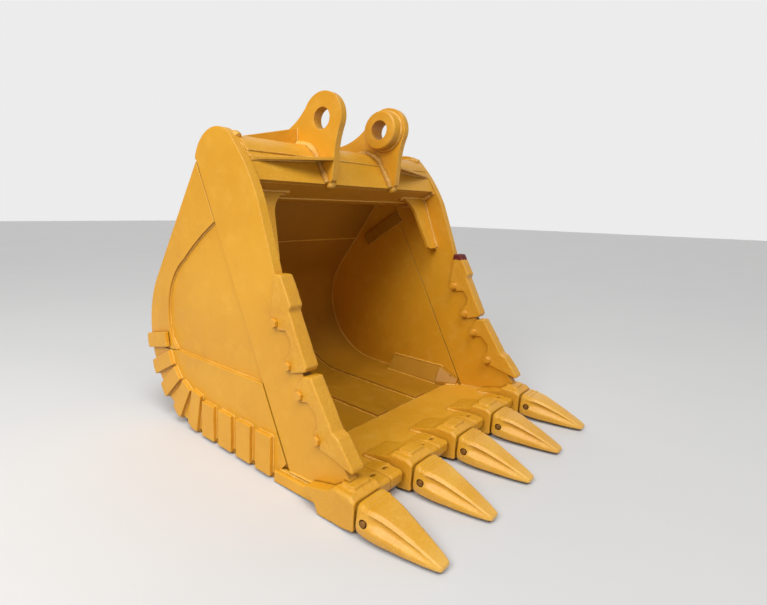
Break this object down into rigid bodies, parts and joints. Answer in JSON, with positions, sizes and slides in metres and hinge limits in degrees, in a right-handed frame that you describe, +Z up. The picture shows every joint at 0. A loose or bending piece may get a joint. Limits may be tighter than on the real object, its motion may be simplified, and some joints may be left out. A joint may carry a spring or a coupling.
{
  "type": "excavator bucket",
  "caption": "Rock digging bucket for a large excavator, with pinned teeth, adapters, lip shrouds, bolted side guards, heel shrouds and twin mounting ears.",
  "frame": {"origin": "middle of the arm pin's bore, halfway between the two ears", "axes": "+X along the arm pin across the bucket, -Y towards the teeth, +Z up as it stands on its floor"},
  "size_m": [1.616, 1.7909, 1.6509],
  "materials": {
    "painted_plate": "satin yellow-orange machine paint on plate",
    "painted_inside": "the same paint, duller inside the bowl",
    "cast_guards": "paint over a rough casting",
    "cast_teeth": "paint over a smooth forging, worn at the tip",
    "painted_bolts": "painted bolt heads and nuts",
    "pin_steel": "dull steel with overspray",
    "spring_steel": "oiled"
  },
  "bodies": {
    "bucket": {"adapter_1": "cast_guards", "adapter_2": "cast_guards", "adapter_3": "cast_guards", "adapter_4": "cast_guards", "adapter_5": "cast_guards", "arm_pin_bosses": "painted_plate", "corner_braces": "painted_inside", "corner_caps": "painted_inside", "corner_runner_left": "painted_plate", "corner_runner_right": "painted_plate", "corner_strips": "painted_inside", "cutting_edge": "painted_plate", "ear_left": "painted_plate", "ear_right": "painted_plate", "floor_wear_strips": "painted_inside", "front_ribs": "painted_plate", "guard_bolts": "painted_bolts", "guard_nuts": "painted_bolts", "heel_shrouds_left": "painted_plate", "heel_shrouds_right": "painted_plate", "knee_gussets": "painted_plate", "link_pin_bosses": "painted_plate", "lip_shroud_1": "cast_guards", "lip_shroud_2": "cast_guards", "lip_shroud_3": "cast_guards", "lip_shroud_4": "cast_guards", "lip_shroud_5": "cast_guards", "lip_shroud_6": "cast_guards", "lip_shroud_7": "cast_guards", "lip_shroud_8": "cast_guards", "pin_retainers": "spring_steel", "rear_ribs": "painted_plate", "side_band_left": "painted_plate", "side_band_right": "painted_plate", "side_bar_left": "painted_plate", "side_bar_right": "painted_plate", "side_guard_lower_left": "cast_guards", "side_guard_lower_right": "cast_guards", "side_guard_upper_left": "cast_guards", "side_guard_upper_right": "cast_guards", "side_plate_left": "painted_plate", "side_plate_right": "painted_plate", "side_wear_plate_left": "painted_plate", "side_wear_plate_right": "painted_plate", "tooth_1": "cast_teeth", "tooth_2": "cast_teeth", "tooth_3": "cast_teeth", "tooth_4": "cast_teeth", "tooth_5": "cast_teeth", "torque_tube": "painted_plate", "tube_bottom_plate": "painted_plate", "tube_front_plate": "painted_plate", "wrapper_lower": "painted_inside", "wrapper_upper": "painted_inside"},
    "tooth_pin_1": {"tooth_pin_1": "pin_steel"},
    "tooth_pin_2": {"tooth_pin_2": "pin_steel"},
    "tooth_pin_3": {"tooth_pin_3": "pin_steel"},
    "tooth_pin_4": {"tooth_pin_4": "pin_steel"},
    "tooth_pin_5": {"tooth_pin_5": "pin_steel"}
  },
  "joints": [
    {"name": "tooth_pin_1_drive_out", "type": "slide", "parent": "bucket", "child": "tooth_pin_1", "axis": [-1, 0, 0], "range_m": [0, 0.176]},
    {"name": "tooth_pin_2_drive_out", "type": "slide", "parent": "bucket", "child": "tooth_pin_2", "axis": [-1, 0, 0], "range_m": [0, 0.176]},
    {"name": "tooth_pin_3_drive_out", "type": "slide", "parent": "bucket", "child": "tooth_pin_3", "axis": [-1, 0, 0], "range_m": [0, 0.176]},
    {"name": "tooth_pin_4_drive_out", "type": "slide", "parent": "bucket", "child": "tooth_pin_4", "axis": [-1, 0, 0], "range_m": [0, 0.176]},
    {"name": "tooth_pin_5_drive_out", "type": "slide", "parent": "bucket", "child": "tooth_pin_5", "axis": [-1, 0, 0], "range_m": [0, 0.176]}
  ]
}
